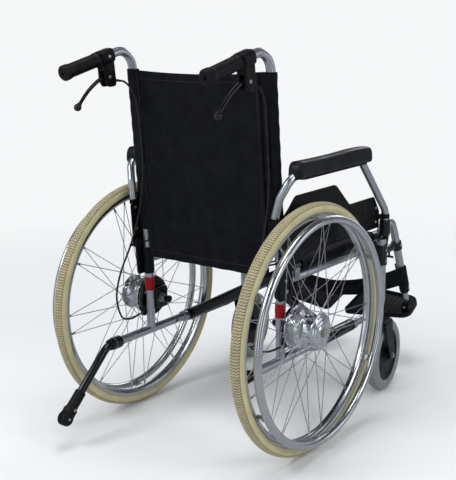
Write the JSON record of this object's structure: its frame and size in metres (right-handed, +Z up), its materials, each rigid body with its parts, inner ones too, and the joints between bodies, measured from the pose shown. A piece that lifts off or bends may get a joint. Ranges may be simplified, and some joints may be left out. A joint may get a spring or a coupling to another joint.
{
  "type": "folding wheelchair",
  "caption": "Folding manual wheelchair with push-rim wheels, drum brakes worked from the push handles, flip-back armrests and swing-away footrests.",
  "frame": {"origin": "on the ground under the middle of the chair's length and width, standing open", "axes": "the chair faces -Y, its left side is +X, +Z is up"},
  "size_m": [0.6446, 1.0797, 0.9624],
  "materials": {
    "silver_tube": "satin metallic paint",
    "rim_metal": "polished and anodised",
    "hub_metal": "bright, machined",
    "steel": "zinc plated",
    "red_ring": "gloss",
    "black_plastic": "moulded, matte",
    "black_metal": "black powder coat",
    "cable_sheath": "gloss",
    "grip_rubber": "matte",
    "arm_pad": "soft skin, satin",
    "tan_tyre": "matte",
    "grey_tyre": "matte",
    "black_cloth": "woven, matte"
  },
  "bodies": {
    "right_frame": {"side_frame_R": "silver_tube", "post_ring_R": "red_ring", "rear_bracket_R": "black_plastic", "front_bracket_R": "black_plastic", "brake_plate_R": "black_metal", "axle_R": "steel", "back_tube_R": "silver_tube", "grip_R": "grip_rubber", "brake_housing_R": "black_metal", "brake_cable_R": "cable_sheath", "rail_end_cap": "black_plastic", "seat_sling": "black_cloth", "back_upholstery": "black_cloth", "calf_strap": "black_cloth"},
    "cross_arm_a": {"cross_arm_a": "black_metal"},
    "cross_arm_b": {"cross_arm_b": "black_metal"},
    "left_frame": {"side_frame_L": "silver_tube", "post_ring_L": "red_ring", "rear_bracket_L": "black_plastic", "front_bracket_L": "black_plastic", "brake_plate_L": "black_metal", "axle_L": "steel", "back_tube_L": "silver_tube", "grip_L": "grip_rubber", "brake_housing_L": "black_metal", "brake_cable_L": "cable_sheath"},
    "anti_tipper": {"anti_tipper_tube": "black_metal", "anti_tipper_foot": "grip_rubber"},
    "rear_wheel_R": {"tyre_R": "tan_tyre", "rim_R": "rim_metal", "hub_R": "hub_metal", "push_rim_R": "rim_metal"},
    "brake_lever_R": {"brake_lever_R": "black_metal"},
    "armrest_R": {"arm_tube_R": "silver_tube", "arm_pad_R": "arm_pad", "skirt_guard_R": "black_plastic"},
    "caster_fork_R": {"caster_fork_R": "black_metal"},
    "caster_wheel_R": {"caster_rim_R": "black_plastic", "caster_tyre_R": "grey_tyre"},
    "footrest_R": {"hanger_tube_R": "silver_tube", "hanger_latch_R": "black_plastic", "foot_sleeve_R": "black_plastic", "foot_tube_R": "silver_tube"},
    "footplate_R": {"footplate_R": "black_plastic"},
    "rear_wheel_L": {"tyre_L": "tan_tyre", "rim_L": "rim_metal", "hub_L": "hub_metal", "push_rim_L": "rim_metal"},
    "brake_lever_L": {"brake_lever_L": "black_metal"},
    "armrest_L": {"arm_tube_L": "silver_tube", "arm_pad_L": "arm_pad", "skirt_guard_L": "black_plastic"},
    "caster_fork_L": {"caster_fork_L": "black_metal"},
    "caster_wheel_L": {"caster_rim_L": "black_plastic", "caster_tyre_L": "grey_tyre"},
    "footrest_L": {"hanger_tube_L": "silver_tube", "hanger_latch_L": "black_plastic", "foot_sleeve_L": "black_plastic", "foot_tube_L": "silver_tube"},
    "footplate_L": {"footplate_L": "black_plastic"}
  },
  "joints": [
    {"name": "frame_fold", "type": "hinge", "parent": "right_frame", "child": "cross_arm_a", "pos_m": [-0.208, -0.03465, 0.224], "axis": [0, -1, 0], "range_deg": [0, 45], "deforming": ["seat_sling", "back_upholstery", "calf_strap"]},
    {"name": "cross_pivot", "type": "hinge", "parent": "cross_arm_a", "child": "cross_arm_b", "pos_m": [0, -0.03465, 0.335], "axis": [0, -1, 0], "range_deg": [-90, 0]},
    {"name": "left_rail_pivot", "type": "hinge", "parent": "cross_arm_b", "child": "left_frame", "pos_m": [0.208, -0.03465, 0.224], "axis": [0, -1, 0], "range_deg": [0, 45]},
    {"name": "anti_tipper_turn", "type": "hinge", "parent": "left_frame", "child": "anti_tipper", "pos_m": [0.208, 0.32385, 0.224], "axis": [0, 1, 0], "range_deg": [0, 180]},
    {"name": "wheel_spin_R", "type": "hinge", "parent": "right_frame", "child": "rear_wheel_R", "pos_m": [-0.273, 0.17035, 0.305], "axis": [1, 0, 0], "continuous": true},
    {"name": "brake_lever_pivot_R", "type": "hinge", "parent": "right_frame", "child": "brake_lever_R", "pos_m": [-0.208, 0.33035, 0.893], "axis": [1, 0, 0], "range_deg": [0, 22], "stiffness_Nm_per_rad": 1.2},
    {"name": "armrest_flip_R", "type": "hinge", "parent": "right_frame", "child": "armrest_R", "pos_m": [-0.228, 0.21535, 0.467], "axis": [-1, 0, 0], "range_deg": [0, 85]},
    {"name": "caster_swivel_R", "type": "hinge", "parent": "right_frame", "child": "caster_fork_R", "pos_m": [-0.231, -0.24665, 0.2115], "axis": [0, 0, 1], "continuous": true},
    {"name": "caster_spin_R", "type": "hinge", "parent": "caster_fork_R", "child": "caster_wheel_R", "pos_m": [-0.22643, -0.28135, 0.1], "axis": [-0.9914, -0.1305, 0], "continuous": true},
    {"name": "hanger_swing_R", "type": "hinge", "parent": "right_frame", "child": "footrest_R", "pos_m": [-0.208, -0.29765, 0.4455], "axis": [0, 0, -1], "range_deg": [0, 90], "deforming": ["calf_strap"]},
    {"name": "footplate_flip_R", "type": "hinge", "parent": "footrest_R", "child": "footplate_R", "pos_m": [-0.208, -0.45914, 0.1975], "axis": [0, -0.9563, 0.2924], "range_deg": [0, 90]},
    {"name": "wheel_spin_L", "type": "hinge", "parent": "left_frame", "child": "rear_wheel_L", "pos_m": [0.273, 0.17035, 0.305], "axis": [1, 0, 0], "continuous": true},
    {"name": "brake_lever_pivot_L", "type": "hinge", "parent": "left_frame", "child": "brake_lever_L", "pos_m": [0.208, 0.33035, 0.893], "axis": [1, 0, 0], "range_deg": [0, 22], "stiffness_Nm_per_rad": 1.2},
    {"name": "armrest_flip_L", "type": "hinge", "parent": "left_frame", "child": "armrest_L", "pos_m": [0.228, 0.21535, 0.467], "axis": [-1, 0, 0], "range_deg": [0, 85]},
    {"name": "caster_swivel_L", "type": "hinge", "parent": "left_frame", "child": "caster_fork_L", "pos_m": [0.231, -0.24665, 0.2115], "axis": [0, 0, 1], "continuous": true},
    {"name": "caster_spin_L", "type": "hinge", "parent": "caster_fork_L", "child": "caster_wheel_L", "pos_m": [0.23557, -0.28135, 0.1], "axis": [-0.9914, -0.1305, 0], "continuous": true},
    {"name": "hanger_swing_L", "type": "hinge", "parent": "left_frame", "child": "footrest_L", "pos_m": [0.208, -0.29765, 0.4455], "axis": [0, 0, 1], "range_deg": [0, 90], "deforming": ["calf_strap"]},
    {"name": "footplate_flip_L", "type": "hinge", "parent": "footrest_L", "child": "footplate_L", "pos_m": [0.208, -0.45914, 0.1975], "axis": [0, 0.9563, -0.2924], "range_deg": [0, 90]}
  ],
  "couplings": [
    {"joint": "cross_pivot", "follows": "frame_fold", "ratio": -2},
    {"joint": "left_rail_pivot", "follows": "frame_fold", "ratio": 1},
    {"joint": "footplate_flip_R", "follows": "frame_fold", "ratio": 2},
    {"joint": "footplate_flip_L", "follows": "frame_fold", "ratio": 2}
  ]
}
